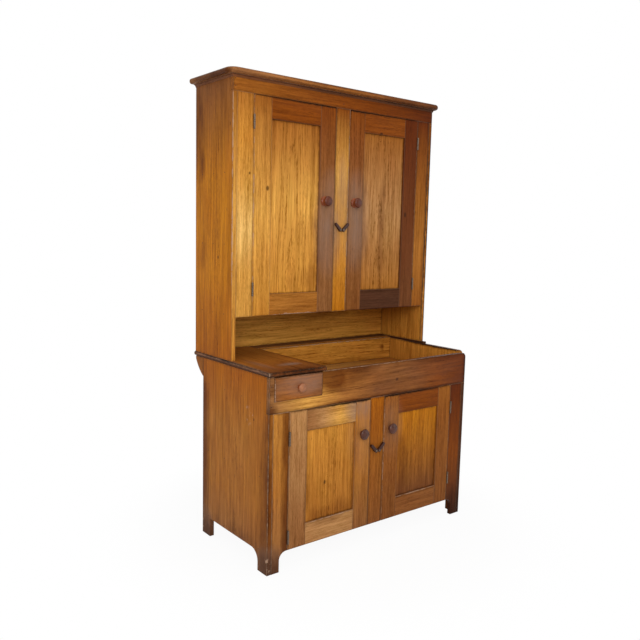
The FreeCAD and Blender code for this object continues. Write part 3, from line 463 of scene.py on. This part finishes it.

# what hands, mops and years have left, and the shade and sheen painted with it, by its kind and by the start
# of the node's name (an empty one is any node's): x, y and z of its middle, its reach in x, y and z, all in
# millimetres, and its strength
MARKS = {
    # film marks are partly painted sheen: the mark on the upper centre stile is a painted highlight, and the
    # patches by the knobs, on the lower left door's top rail and in the middle of the deck are dull film and
    # painted highlight together
    "film": {
        "": ((-72, 0, 1490, 100, 70, 280, 0.6), (95, 0, 1510, 110, 70, 270, 0.55)),
        "upper_stile_centre": ((0, 0, 1640, 50, 30, 220, 0.4),),
        "door": ((-60, -300, 560, 130, 60, 240, 0.35), (-95, -303, 665, 120, 50, 75, 0.75),
            (95, -303, 540, 90, 60, 170, 0.3)),
        "drawer": ((-440, -305, 815, 150, 30, 60, 0.5),),
        "base": ((-590, -303, 0, 90, 110, 140, 0.95), (-609, 240, 0, 60, 110, 160, 0.9)),
        "deck": ((-420, -180, 875, 70, 32, 20, 0.9), (-540, -120, 875, 24, 150, 20, 0.4),
            (-612, 0, 866, 14, 560, 20, 0.75)),
        "well_floor": ((-230, -60, 751, 170, 220, 40, 0.9),),
    },
    # some dirt marks are painted shade, named at their rows below
    "dirt_and_shade": {
        "apron": ((-200, -303, 850, 260, 40, 110, 0.55), (-270, -303, 815, 120, 40, 75, 0.9),
            # painted shade: (30, -303, 695) is the shadow line along the apron's bottom over the lower doors'
            # tops, and (620, -303, 790) on the next line darkens the apron's right end, turned from the lamps
            (420, -303, 868, 330, 40, 50, 0.6), (30, -303, 695, 640, 30, 22, 0.8),
            (620, -303, 790, 40, 60, 200, 0.7), (-600, -303, 715, 50, 30, 40, 0.6),
            (-597, -303, 800, 16, 30, 60, 0.6)),
        "base": ((-575, -303, 0, 100, 120, 160, 0.75), (575, -303, 0, 110, 120, 230, 0.6),
            (-609, 240, 0, 60, 120, 160, 0.75), (-609, 258, 430, 40, 85, 600, 0.72)),
        "upper_side": ((-609, 335, 1900, 60, 90, 330, 0.5), (-609, 292, 1990, 30, 28, 110, 0.6),
            (-609, 262, 1745, 30, 24, 100, 0.65), (-609, 250, 1350, 30, 24, 130, 0.4)),
        "door_upper_left": ((-273, 8, 1215, 50, 40, 70, 0.2),),
        "door_lower_right": ((180, -297, 330, 60, 40, 200, 0.4),),
        "door_lower_left": ((-273, -297, 200, 160, 40, 90, 0.4),),
        # painted shade: the mark at x -300 along the deck's right edge is the shadow line where the deck
        # meets the well
        "deck": ((-460, -320, 872, 190, 70, 30, 0.6), (-300, -120, 875, 50, 240, 20, 0.55),
            (-612, 0, 855, 16, 560, 16, 0.9)),
        # painted shade: the dark top edge of the right base side, turned from the lamps
        "base_side_right": ((609, -100, 864, 40, 300, 24, 1.1),),
        # painted shade: darker on the back boards just under the upper case's floor
        "upper_back": ((200, 310, 1060, 420, 30, 90, 0.5),),
        "well_back": ((140, 233, 745, 470, 30, 50, 0.4), (520, 233, 815, 16, 30, 26, 0.9)),
        "base_stile_left": ((-504, -303, 400, 52, 20, 900, 0.8), (-587, -303, 300, 16, 20, 400, 0.4)),
        "door_upper_right_panel": ((273, 8, 1420, 30, 30, 480, 0.5), (140, 8, 1560, 40, 30, 420, 0.3)),
        # painted shade: the lower left panel's mark and the upper left panel's mark at x -130 darken panel
        # edges for the shade in their recesses
        "door_lower_left_panel": ((-410, -297, 380, 40, 20, 240, 0.4),),
        "door_upper_left_panel": ((-190, 8, 1235, 80, 20, 90, 0.25), (-130, 8, 1560, 60, 30, 420, 0.28)),
        # painted shade: the marks at z 2108 and 2110 darken the cornice's lower edges for the shade under its
        # overhang
        "cornice": ((0, -20, 2136, 700, 60, 22, 0.5), (-642, 150, 2120, 30, 240, 40, 0.6),
            (642, -32, 2110, 500, 60, 50, 0.5), (-642, 60, 2108, 20, 260, 22, 0.7)),
        "base_side": ((-609, -303, 400, 30, 75, 520, 0.6), (-609, -60, 70, 30, 330, 110, 0.35)),
    },
    # edge marks on the right-hand edges of the upper side, the base side and the apron paint the shade on
    # those edges, turned from the lamps; those on the tops of the lower and upper doors paint the shadow in
    # the gaps under the apron and the frieze; the cornice's is grime and partly the shade along its lower
    # edge; the rest are grime
    "edge": {
        "deck": ((-612, 0, 875, 14, 560, 16, 0.8), (-460, -308, 866, 190, 30, 24, 0.8)),
        "cornice": ((0, 100, 2118, 660, 300, 30, 0.5),),
        "upper_side_right": ((609, 1, 1500, 40, 40, 700, 1.2),),
        "base_side_left": ((-609, -303, 430, 30, 30, 420, 0.5),),
        "apron": ((620, -303, 800, 40, 60, 160, 1.6),),
        "base_side_right": ((609, -100, 864, 40, 300, 24, 1.6),),
        "door_lower": ((0, -306, 697, 520, 30, 12, 1.2),),
        "door_upper": ((0, -2, 2036, 520, 30, 12, 1.0),),
    },
    "wear": {
        "upper_side": ((-609, 1, 1800, 16, 30, 420, 0.9), (-609, 1, 1400, 16, 30, 200, 1.5)),
        "door_upper": ((-503, 0, 1553, 14, 30, 700, 0.7), (503, 0, 1553, 14, 30, 700, 1.0),
            (-273, 0, 1070, 150, 30, 22, 2.2)),
        "upper_stile_centre": ((44, 0, 1553, 12, 30, 700, 0.9),),
        "door_lower": ((-503, -306, 520, 14, 30, 260, 0.6), (503, -306, 392, 14, 30, 420, 0.9),
            (44, -306, 392, 12, 30, 450, 0.6), (-273, -306, 184, 170, 30, 20, 0.7),
            (273, -306, 184, 170, 30, 20, 0.7)),
        "base": ((-609, -303, 300, 14, 14, 520, 0.4),),
        "deck": ((-612, -150, 875, 16, 260, 20, 0.5), (-460, -308, 875, 190, 16, 20, 0.2)),
        "well_back": ((140, 233, 869, 480, 12, 12, 1.3),),
        "apron": ((-150, -303, 855, 500, 30, 12, 0.3),),
        "drawer_front": ((-582, -306, 800, 14, 20, 70, 0.5),),
    },
    "scuff": {
        "base": ((-604, -303, 50, 42, 42, 130, 0.65), (-609, 250, 40, 40, 60, 120, 0.63)),
        "base_stile": ((-540, -303, 410, 40, 20, 90, 0.42),),
        "base_side": ((-609, -150, 660, 30, 70, 110, 0.62),),
        "apron": ((60, -303, 712, 420, 20, 22, 0.4),),
        "deck": ((-612, -100, 865, 14, 300, 20, 0.35),),
    },
}


def marks_near(node, low, high):
    """The marks that reach into a box of a node's mesh: kind, middle, reach and strength."""
    near = []
    for kind, places in MARKS.items():
        for row in [row for start, rows in places.items() if node.startswith(start) for row in rows]:
            middle, reach = Vector(row[:3]) * MM, Vector(row[3:6]) * MM
            if all(low[k] < middle[k] + reach[k] and high[k] > middle[k] - reach[k] for k in range(3)):
                near.append((kind, middle, reach, row[6]))
    return near


def marks_at(point, marks):
    """The wear, the grime and painted shade on edges, the dirt and painted shade, the film and painted sheen,
    and the scuffs that the marks lay on a place.
    """
    found = dict.fromkeys(MARKS, 0.0)
    for kind, middle, reach, strength in marks:
        far = sum(((c - m) / r) ** 2 for c, m, r in zip(point, middle, reach))
        if far < 1:
            found[kind] = max(found[kind], strength * (1 - far))
    return found


def stain_stops(tones):
    """The colours of a board's stain from its low end to its high end, from the names of its tones."""
    return [linear(TONES[tone]) for tone in tones.split()]


def stain_at(stops, part):
    """The stain at a part of a board's length, between its stops."""
    place = part * (len(stops) - 1)
    index = int(place)
    after = min(index + 1, len(stops) - 1)
    return [a + (b - a) * (place - index) for a, b in zip(stops[index], stops[after])]


def give_grain(mesh, node, stain, grain, cut="rift", wear=0.0, grime=0.55, film=0.02, inset=0.0, front=""):
    """Writes each board's own frame, its place in the log, its stain and its age into the mesh.

    The stain names the tones of each board of the node, with a slash between two boards, and front
    those of a front edge that took another stain. Inset is what the neighbours hide of the edges.
    """
    dice = random.Random(f"{node}{WOODPILE}")
    count = len(mesh.vertices)
    values = {key: [0.0] * (3 * count) for key in CARRIED}
    tints = [1.0] * (4 * count)
    boards = [stain_stops(tones) for tones in stain.split("/")]
    front_stops = stain_stops(front)
    aside, behind, ring_strength, streak_strength = CUTS[cut]
    along = "xyz".index(grain)
    parts = sorted(islands(mesh), key=lambda part: min(tuple(round(c, 4) for c in mesh.vertices[i].co)
                                                       for i in part))
    for index, part in enumerate(parts):
        points = [mesh.vertices[i].co for i in part]
        low = [min(p[axis] for p in points) for axis in range(3)]
        high = [max(p[axis] for p in points) for axis in range(3)]
        order = [along] + sorted((axis for axis in range(3) if axis != along),
                                 key=lambda axis: low[axis] - high[axis])
        middle = [(low[axis] + high[axis]) / 2 for axis in order]
        half = [(high[axis] - low[axis]) / 2 for axis in order]
        rows = {"reach": (half[0] - inset, half[1] - inset, half[2]),
                "luck": (dice.uniform(5, 40), dice.uniform(*aside) * dice.choice((-1, 1)),
                         dice.uniform(*behind)),
                "figure": (dice.uniform(0.85, 1.2), ring_strength * dice.uniform(0.8, 1.2), streak_strength),
                "knot": NO_KNOT}
        for x, y, z, radius in KNOTS:
            spot = (x * MM, y * MM, z * MM)
            if all(low[axis] - KNOT_MARGIN < spot[axis] < high[axis] + KNOT_MARGIN for axis in range(3)):
                rows["knot"] = (spot[order[0]] - middle[0], spot[order[1]] - middle[1], radius * MM)
        stops = boards[index % len(boards)]
        marks = marks_near(node, low, high)
        for i, point in zip(part, points):
            found = marks_at(point, marks)
            rows["board"] = [point[axis] - m for axis, m in zip(order, middle)]
            rows["edges"] = (wear + found["wear"], grime + found["edge"], 0.0)
            rows["marks"] = (found["dirt_and_shade"], film + found["film"], found["scuff"])
            for key, row in rows.items():
                values[key][3 * i:3 * i + 3] = row
            on_front = front_stops and point.y < low[1] + EDGE_SKIN
            tints[4 * i:4 * i + 3] = stain_at(front_stops if on_front else stops,
                                              (point[along] - low[along]) / (high[along] - low[along]))
    for key, numbers in values.items():
        mesh.attributes.new(key, "FLOAT_VECTOR", "POINT").data.foreach_set("vector", numbers)
    mesh.attributes.new("tint", "FLOAT_COLOR", "POINT").data.foreach_set("color", tints)


def board(node, stain, grain, cut="rift", material="case", arris=None, **age):
    """The boards of one CAD node, with softened edges and their own grain."""
    mesh = softened(node, sizes().arris if arris is None else arris)
    crosscut(mesh, sizes().point_step)
    give_grain(mesh, node, stain, grain, cut, **age)
    stand_in(node, "wood", mesh, material, 20)


def skinned(name, mesh, rings, steps):
    """Faces between each ring of vertices and the next, as mesh data. A ring may be a single vertex."""
    for low, high in zip(rings, rings[1:]):
        for step in range(steps):
            after = (step + 1) % steps
            corners = dict.fromkeys((low[step % len(low)], low[after % len(low)],
                                     high[after % len(high)], high[step % len(high)]))
            if len(corners) > 2:
                mesh.faces.new(list(corners))
    bmesh.ops.recalc_face_normals(mesh, faces=mesh.faces)
    return as_data(mesh, name)


def turned(name, outline, centre, steps):
    """A closed turned form round an axis along Y. The outline is (radius, forward) in millimetres."""
    mesh = bmesh.new()
    front = mesh.verts.layers.float.new("front")
    face_from, face_over = 0.62, 0.22  # the shares of its length where its dark face begins and deepens
    foremost = max(forward for _, forward in outline)
    rings = []
    for radius, forward in outline:
        rings.append([])
        for step in range(1 if radius == 0 else steps):
            turn = 2 * pi * step / steps
            vertex = mesh.verts.new((centre.x + radius * MM * cos(turn), centre.y - forward * MM,
                                     centre.z + radius * MM * sin(turn)))
            vertex[front] = min(max((forward / foremost - face_from) / face_over, 0.0), 1.0)
            rings[-1].append(vertex)
    return skinned(name, mesh, rings, steps)


def cove_moulding(low, high, size):
    """A closed hollow moulding round the front and sides of a box, with true mitres at its corners."""
    lip, steps = 0.15 * size, 8
    hollow = size - lip
    section = [(0.0, 0.0), (size, 0.0)]
    for step in range(steps):
        turn = pi / 2 * step / steps
        section.append((size - hollow * sin(turn), -lip - hollow * (1 - cos(turn))))
    section += [(lip, -size), (0.0, -size)]
    mesh = bmesh.new()
    inner_x, inner_y = high.x - size, low.y + size
    rings = [[mesh.verts.new((x + aside * out, y - ahead * out, high.z + drop)) for out, drop in section]
             for x, y, aside, ahead in ((-inner_x, high.y, -1, 0), (-inner_x, inner_y, -1, 1),
                                        (inner_x, inner_y, 1, 1), (inner_x, high.y, 1, 0))]
    for end in (rings[0], rings[-1]):
        mesh.faces.new(end)
    return skinned("cove", mesh, rings, len(section))


# ---- nail heads

def between(low, high, part):
    return low + part * (high - low)


def heads_tree():
    """Slightly domed round heads, one on each point of the mesh, facing as the point's attribute says."""
    tree = bpy.data.node_groups.new("Fastener Heads", "GeometryNodeTree")
    for name, way, kind in (("Geometry", "INPUT", "Geometry"), ("Geometry", "OUTPUT", "Geometry"),
                            ("Radius", "INPUT", "Float"), ("Height", "INPUT", "Float"),
                            ("Material", "INPUT", "Material")):
        tree.interface.new_socket(name, in_out=way, socket_type=f"NodeSocket{kind}")
    start = add(tree, "NodeGroupInput").node.outputs
    ball = add(tree, "GeometryNodeMeshUVSphere", {"Segments": 12, "Rings": 6, "Radius": start["Radius"]})
    flat = add(tree, "ShaderNodeMath", (start["Height"], start["Radius"]), operation="DIVIDE")
    squash = add(tree, "ShaderNodeCombineXYZ", (1, 1, flat))
    head = add(tree, "GeometryNodeTransform", {"Geometry": ball, "Scale": squash})
    facing = add(tree, "GeometryNodeInputNamedAttribute", {"Name": "facing"}, data_type="FLOAT_VECTOR")
    turn = add(tree, "FunctionNodeAlignRotationToVector", {"Vector": facing}, axis="Z")
    heads = add(tree, "GeometryNodeInstanceOnPoints",
                {"Points": start["Geometry"], "Instance": head, "Rotation": turn})
    real = add(tree, "GeometryNodeRealizeInstances", {"Geometry": heads})
    painted = add(tree, "GeometryNodeSetMaterial", {"Geometry": real, "Material": start["Material"]})
    add(tree, "NodeGroupOutput", {"Geometry": painted})
    return tree


def nail_heads(spots):
    """One piece with a nail head at each spot. A spot is (place, the way the head faces)."""
    points = bpy.data.meshes.new("nail_points")
    points.from_pydata([place for place, _ in spots], [], [])
    facing = points.attributes.new("facing", "FLOAT_VECTOR", "POINT")
    facing.data.foreach_set("vector", [c for _, way in spots for c in way])
    holder = placed("holder", points)
    modifier = holder.modifiers.new("Heads", "NODES")
    modifier.node_group = heads_tree()
    inputs = {"Radius": sizes().nail_head, "Height": sizes().nail_height, "Material": material_for("nail")}
    for item in modifier.node_group.interface.items_tree:
        if item.in_out == "INPUT" and item.name in inputs:
            modifier[item.identifier] = inputs[item.name]
    finish_piece("case_nails", baked(holder), "case", "nail")


# ---- operators

class CUPBOARD_OT_base(bpy.types.Operator):
    """Makes the base: sides, face frame, apron, floors and back boards"""
    bl_idname = "cupboard.base"
    bl_label = "Base"

    def execute(self, context):
        board("base_side_left", "dun caramel caramel orange", "z", "deep", grime=0.35,
              front="drab nut caramel nut")
        board("base_side_right", "brown nut nut honey", "z", "deep", front="umber")
        board("base_stile_left", "dun caramel honey", "z", wear=0.25, film=0.1)
        board("base_stile_right", "umber russet mahogany", "z")
        board("base_stile_centre", "brown nut orange", "z")
        # the gold under the drawer stands partly for sheen on the varnish, and the darkening to the right
        # partly for shade
        board("apron", "dun gold caramel brown brown russet mahogany", "x", "deep", wear=0.2, film=0.1)
        board("base_floor", "brown", "x", "deep", "inside")
        board("base_shelf", "dun", "x", "deep", "inside")
        board("base_back_boards", "brown / dun / brown / brown / brown", "z", "flat", "inside")
        return {"FINISHED"}


class CUPBOARD_OT_well(bpy.types.Operator):
    """Makes the open well, the deck over the drawer and what carries the upper case"""
    bl_idname = "cupboard.well"
    bl_label = "Well and deck"

    def execute(self, context):
        board("well_floor", "straw caramel", "x", "deep", grime=0.8)
        board("well_back", "honey", "x", "deep")
        board("bay_divider", "brown", "y")
        board("deck", "drab nut nut nut", "y", "deep", wear=0.3, grime=0.8)
        # the ledge's dark stain paints the shade that lies on its top under the upper case
        board("rear_ledge", "drab umber", "x", grime=0.3, front="caramel")
        board("rest_cleat", "umber", "y")
        board("corbels", "nut / brown", "z")
        return {"FINISHED"}


class CUPBOARD_OT_drawer(bpy.types.Operator):
    """Makes the drawer's front and box"""
    bl_idname = "cupboard.drawer"
    bl_label = "Drawer"

    def execute(self, context):
        board("drawer_front", "brown orange brown", "x", wear=0.35, film=0.15)
        board("drawer_sides", "tan / dun", "y", material="inside", grime=0.2)
        board("drawer_back", "dun", "x", material="inside", grime=0.2)
        board("drawer_bottom", "dun", "x", "flat", "inside", sizes().bottom_arris, grime=0.3)
        return {"FINISHED"}


class CUPBOARD_OT_upper_case(bpy.types.Operator):
    """Makes the upper case: sides, face frame, frieze, shelves and back boards"""
    bl_idname = "cupboard.upper_case"
    bl_label = "Upper case"

    def execute(self, context):
        board("upper_side_left", "orange amber amber brown", "z", "deep", grime=0.3,
              front="honey gold gold nut")
        board("upper_side_right", "honey nut nut", "z", "deep", front="caramel caramel russet")
        board("upper_stile_left", "gold gold straw gold honey caramel", "z", grime=0.25)
        board("upper_stile_right", "nut caramel nut mahogany", "z")
        board("upper_stile_centre", "amber honey gold russet", "z")
        board("frieze", "nut russet mahogany", "x", "deep")
        board("upper_floor", "brown", "x", material="inside")
        board("upper_shelves", "dun / brown", "x", material="inside")
        # the strong grime on the back boards also paints the shadow in the gap along their bottom over the
        # deck
        board("upper_back_boards", "gold honey / brown / brown / dun / brown", "x", "deep", "inside",
              grime=0.8)
        return {"FINISHED"}


class CUPBOARD_OT_cornice(bpy.types.Operator):
    """Makes the cornice board and the hollow moulding under it"""
    bl_idname = "cupboard.cornice"
    bl_label = "Cornice"

    def execute(self, context):
        board("cornice_board", "dun nut drab", "x", "deep", arris=0.0, wear=0.35, grime=0.35, film=0.1)
        mesh = cove_moulding(*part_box("cornice_cove"), sizes().cove)
        # the moulding's dark stain partly paints the shade under the cornice
        give_grain(mesh, "cornice_cove", "drab umber", "x", wear=0.2, grime=0.3, film=0.1)
        stand_in("cornice_cove", "moulding", mesh, "case")
        return {"FINISHED"}


# the stain of each door's stiles, rails and panel
DOORS = {
    "door_upper_left": ("honey gold nut / dun dun russet", "caramel / russet", "honey gold nut"),
    "door_upper_right": ("brown dun russet / drab mahogany", "umber / russet", "caramel tan nut"),
    "door_lower_left": ("dun tan / dun amber", "tan / dun tan gold tan", "caramel honey"),
    "door_lower_right": ("brown nut / brown nut", "brown / russet", "drab amber"),
}


class CUPBOARD_OT_doors(bpy.types.Operator):
    """Makes the four frame and panel doors"""
    bl_idname = "cupboard.doors"
    bl_label = "Doors"

    def execute(self, context):
        for door, (stiles, rails, panel) in DOORS.items():
            board(f"{door}_stiles", stiles, "z", grime=0.35)
            board(f"{door}_rails", rails, "x", grime=0.35, film=0.03)
            # the strong grime round the panels paints the shade in their recesses as well as dirt
            board(f"{door}_panel", panel, "z", "flat", arris=sizes().panel_arris, grime=0.75,
                  inset=sizes().tongue)
        return {"FINISHED"}


# what the lathe cut: radius and distance in front of the board in millimetres, after the hidden tenon
TENON = ((0, -12), (6, -12), (6, 0))
UPPER_KNOB = ((21.5, 0), (23, 1.2), (23, 6), (21.5, 7.6), (18, 8.6), (15.6, 11), (15, 14),
              (15.4, 17.5), (17.6, 20.6), (21.6, 22.8), (23.6, 25.4), (24, 28.2), (23.2, 32),
              (20.6, 35.6), (16.5, 38), (11, 39.4), (5, 39.9), (0, 40))
MUSHROOM_KNOB = ((13, 0), (13.3, 1.2), (12.2, 4.2), (11.8, 8.5), (13.6, 12.2), (18.6, 14),
                 (23.4, 15.8), (25, 18.2), (24.9, 21), (23.4, 24.2), (20, 26.7), (17.2, 27.7),
                 (16.2, 27.1), (15, 27.9), (10, 29.3), (5, 29.9), (0, 30))


class CUPBOARD_OT_knobs(bpy.types.Operator):
    """Makes the turned knobs of the doors and the drawer"""
    bl_idname = "cupboard.knobs"
    bl_label = "Knobs"

    def execute(self, context):
        kinds = {"upper": (UPPER_KNOB, "turned"), "lower": (MUSHROOM_KNOB, "turned_dark")}
        knobs = {f"{door}_knob": kinds[door.split("_")[1]] for door in DOORS}
        knobs["drawer_knob"] = (MUSHROOM_KNOB, "turned_tan")
        for node, (outline, material) in knobs.items():
            low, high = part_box(node)
            board_front = high.y + TENON[0][1] * MM
            wider = (high.x - low.x) / 2 / MM / max(radius for radius, _ in outline)
            longer = (board_front - low.y) / MM / outline[-1][1]
            scaled = [*TENON, *((radius * wider, forward * longer) for radius, forward in outline)]
            centre = Vector(((low.x + high.x) / 2, board_front, (low.z + high.z) / 2))
            mesh = turned(f"{node}_turned", scaled, centre, sizes().knob_turns)
            stand_in(node, "turned", mesh, material)
        return {"FINISHED"}


class CUPBOARD_OT_hinges(bpy.types.Operator):
    """Makes the butt hinges and their pins"""
    bl_idname = "cupboard.hinges"
    bl_label = "Hinges"

    def execute(self, context):
        for node in ["frame_hinge_leaves", "hinge_pins"] + [f"{door}_hinge_leaves" for door in DOORS]:
            stand_in(node, "iron", softened(node, sizes().hinge_arris, 1), "iron")
        return {"FINISHED"}


class CUPBOARD_OT_buttons(bpy.types.Operator):
    """Makes the turn buttons and their screws"""
    bl_idname = "cupboard.buttons"
    bl_label = "Turn buttons"

    def execute(self, context):
        for door in DOORS:
            node = door.replace("door", "button")
            stand_in(node, "wood", softened(node, sizes().button_arris, 3), "button")
        stand_in("button_screws", "iron", softened("button_screws", sizes().screw_arris), "iron")
        return {"FINISHED"}


class CUPBOARD_OT_nails(bpy.types.Operator):
    """Makes the old nail heads that hold the boards"""
    bl_idname = "cupboard.nails"
    bl_label = "Nails"

    def execute(self, context):
        spots = []
        shelf_inset, frame_inset, back_inset = 10 * MM, 12 * MM, 20 * MM
        for side, sign in (("left", -1), ("right", 1)):
            low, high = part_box(f"upper_side_{side}")
            outside = low.x if sign < 0 else high.x
            way = (sign, 0, 0)
            for shelf in ("upper_floor", "upper_shelves"):
                bottom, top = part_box(shelf)
                for level in {round(bottom.z + shelf_inset, 4), round(top.z - shelf_inset, 4)}:
                    spots += [((outside, between(low.y, high.y, part), level), way)
                              for part in (0.2, 0.5, 0.8)]
            low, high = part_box(f"base_side_{side}")
            for shelf in ("base_floor", "base_shelf", "well_floor"):
                bottom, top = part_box(shelf)
                spots += [((outside, between(low.y, high.y, part), (bottom.z + top.z) / 2), way)
                          for part in (0.12, 0.38, 0.64, 0.9)]
        for node, middle, parts in (("apron", (), (0.2, 0.75)), ("frieze", (0.0,), (0.3, 0.75))):
            low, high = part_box(node)
            for x in (low.x + frame_inset, *middle, high.x - frame_inset):
                spots += [((x, low.y, between(low.z, high.z, part)), FRONT) for part in parts]
        for node, rows in (("upper_back_boards", 11), ("base_back_boards", 5)):
            low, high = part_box(node)
            for x in (low.x + back_inset, high.x - back_inset):
                spots += [((x, high.y, between(low.z, high.z, (row + 0.4) / rows)), BACK)
                          for row in range(rows)]
        nail_heads(spots)
        return {"FINISHED"}


def white_when_seen(tree, shader, kind, output, share=1.0):
    """Shows plain white to the eye, also in reflections, while the shader lights the cupboard."""
    path = add(tree, "ShaderNodeLightPath").node.outputs
    seen = path["Is Camera Ray"]
    for ray in ("Is Glossy Ray", "Is Transmission Ray"):
        seen = add(tree, "ShaderNodeMath", (seen, path[ray]), operation="MAXIMUM")
    seen = add(tree, "ShaderNodeMath", (seen, share), operation="MULTIPLY")
    white = add(tree, kind, {"Color": rgba((1, 1, 1)), "Strength": 1})
    mixed = add(tree, "ShaderNodeMixShader", (seen, shader, white))
    tree.links.new(mixed, tree.nodes[output].inputs["Surface"])


class CUPBOARD_OT_stage(bpy.types.Operator):
    """Makes the pale floor, the soft lights and the camera"""
    bl_idname = "cupboard.stage"
    bl_label = "Stage"

    def execute(self, context):
        scene = context.scene
        scene.view_settings.view_transform = "Standard"
        self.floor()
        self.world(scene)
        for name, place, aim, size, power in (
                ("key_light", (-2.3, -3.1, 2.3), (-0.1, -0.1, 1.05), 1.8, 82),
                ("fill_light", (3.0, -3.2, 1.9), (0.2, 0.0, 1.0), 2.4, 18),
                ("side_light", (-3.6, 0.4, 1.5), (-0.6, 0.0, 1.1), 1.8, 10),
                ("top_light", (-0.4, -1.2, 4.2), (0.0, 0.0, 0.8), 2.5, 34)):
            lamp = bpy.data.lights.new(name, "AREA")
            lamp.size = size
            lamp.energy = power
            holder = placed(name, lamp)
            holder.location = place
            holder.rotation_euler = (Vector(aim) - Vector(place)).to_track_quat("-Z", "Y").to_euler()

        azimuth, pitch, roll = radians(38.29), radians(7.01), radians(1.36)
        eye = Vector((-2.185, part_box("apron")[0].y - 2.32, 1.443))
        camera = bpy.data.cameras.new("camera")
        camera.sensor_width = 36.0
        camera.lens = 39.25
        scene.camera = placed("camera", camera)
        scene.camera.matrix_world = (
            Matrix.Translation(eye) @ Matrix.Rotation(-azimuth, 4, "Z")
            @ Matrix.Rotation(pi / 2 - pitch, 4, "X") @ Matrix.Rotation(roll, 4, "Z"))
        return {"FINISHED"}

    def floor(self):
        """Pale paper that fades to white away from the cupboard and keeps its shadow near it."""
        reach = 14.0
        mesh = bpy.data.meshes.new("studio_floor")
        mesh.from_pydata([(-reach, -reach, 0), (reach, -reach, 0), (reach, reach, 0), (-reach, reach, 0)], [],
                         [(0, 1, 2, 3)])
        material, tree = new_material("pale_paper_floor", Roughness=0.9, Base_Color=rgba(colours().floor))
        away = add(tree, "ShaderNodeTexCoord", out="Object")
        away = add(tree, "ShaderNodeVectorMath", (away,), "Value", operation="LENGTH")
        fade = add(tree, "ShaderNodeMapRange", (away, 0.6, 1.25, 0.94, 1), interpolation_type="SMOOTHSTEP")
        white_when_seen(tree, tree.nodes["Principled BSDF"].outputs[0], "ShaderNodeEmission",
                        "Material Output", fade)
        mesh.materials.append(material)
        plane = placed("studio_floor", mesh)

    def world(self, scene):
        """Soft even light from all round, with white to look at."""
        scene.world = bpy.data.worlds.new("studio")
        scene.world.use_nodes = True
        tree = scene.world.node_tree
        sky = tree.nodes["Background"]
        sky.inputs["Color"].default_value = rgba(linear("#eceef2"))
        sky.inputs["Strength"].default_value = 0.46
        white_when_seen(tree, sky.outputs[0], "ShaderNodeBackground", "World Output")


class CUPBOARD_PT_panel(bpy.types.Panel):
    """Lists the cupboard's sizes, colours and pieces"""
    bl_idname = "CUPBOARD_PT_panel"
    bl_label = "Step Back Cupboard"
    bl_space_type = "VIEW_3D"
    bl_region_type = "UI"
    bl_category = "Cupboard"

    def draw(self, context):
        for group in (context.scene.cupboard_sizes, context.scene.cupboard_colours):
            box = self.layout.box()
            for key in group.__annotations__:
                box.prop(group, key)
        for operator in OPERATORS:
            self.layout.operator(operator.bl_idname)


OPERATORS = (CUPBOARD_OT_base, CUPBOARD_OT_well, CUPBOARD_OT_drawer, CUPBOARD_OT_upper_case,
             CUPBOARD_OT_cornice, CUPBOARD_OT_doors, CUPBOARD_OT_knobs, CUPBOARD_OT_hinges,
             CUPBOARD_OT_buttons, CUPBOARD_OT_nails, CUPBOARD_OT_stage)
CLASSES = (CupboardSizes, CupboardColours, *OPERATORS, CUPBOARD_PT_panel)


def register():
    for item in CLASSES:
        bpy.utils.register_class(item)
    bpy.types.Scene.cupboard_sizes = PointerProperty(type=CupboardSizes)
    bpy.types.Scene.cupboard_colours = PointerProperty(type=CupboardColours)


def unregister():
    del bpy.types.Scene.cupboard_colours
    del bpy.types.Scene.cupboard_sizes
    for item in reversed(CLASSES):
        bpy.utils.unregister_class(item)


def main():
    register()
    for operator in OPERATORS:
        group, name = operator.bl_idname.split(".")
        getattr(getattr(bpy.ops, group), name)()


if __name__ == "__main__":
    main()
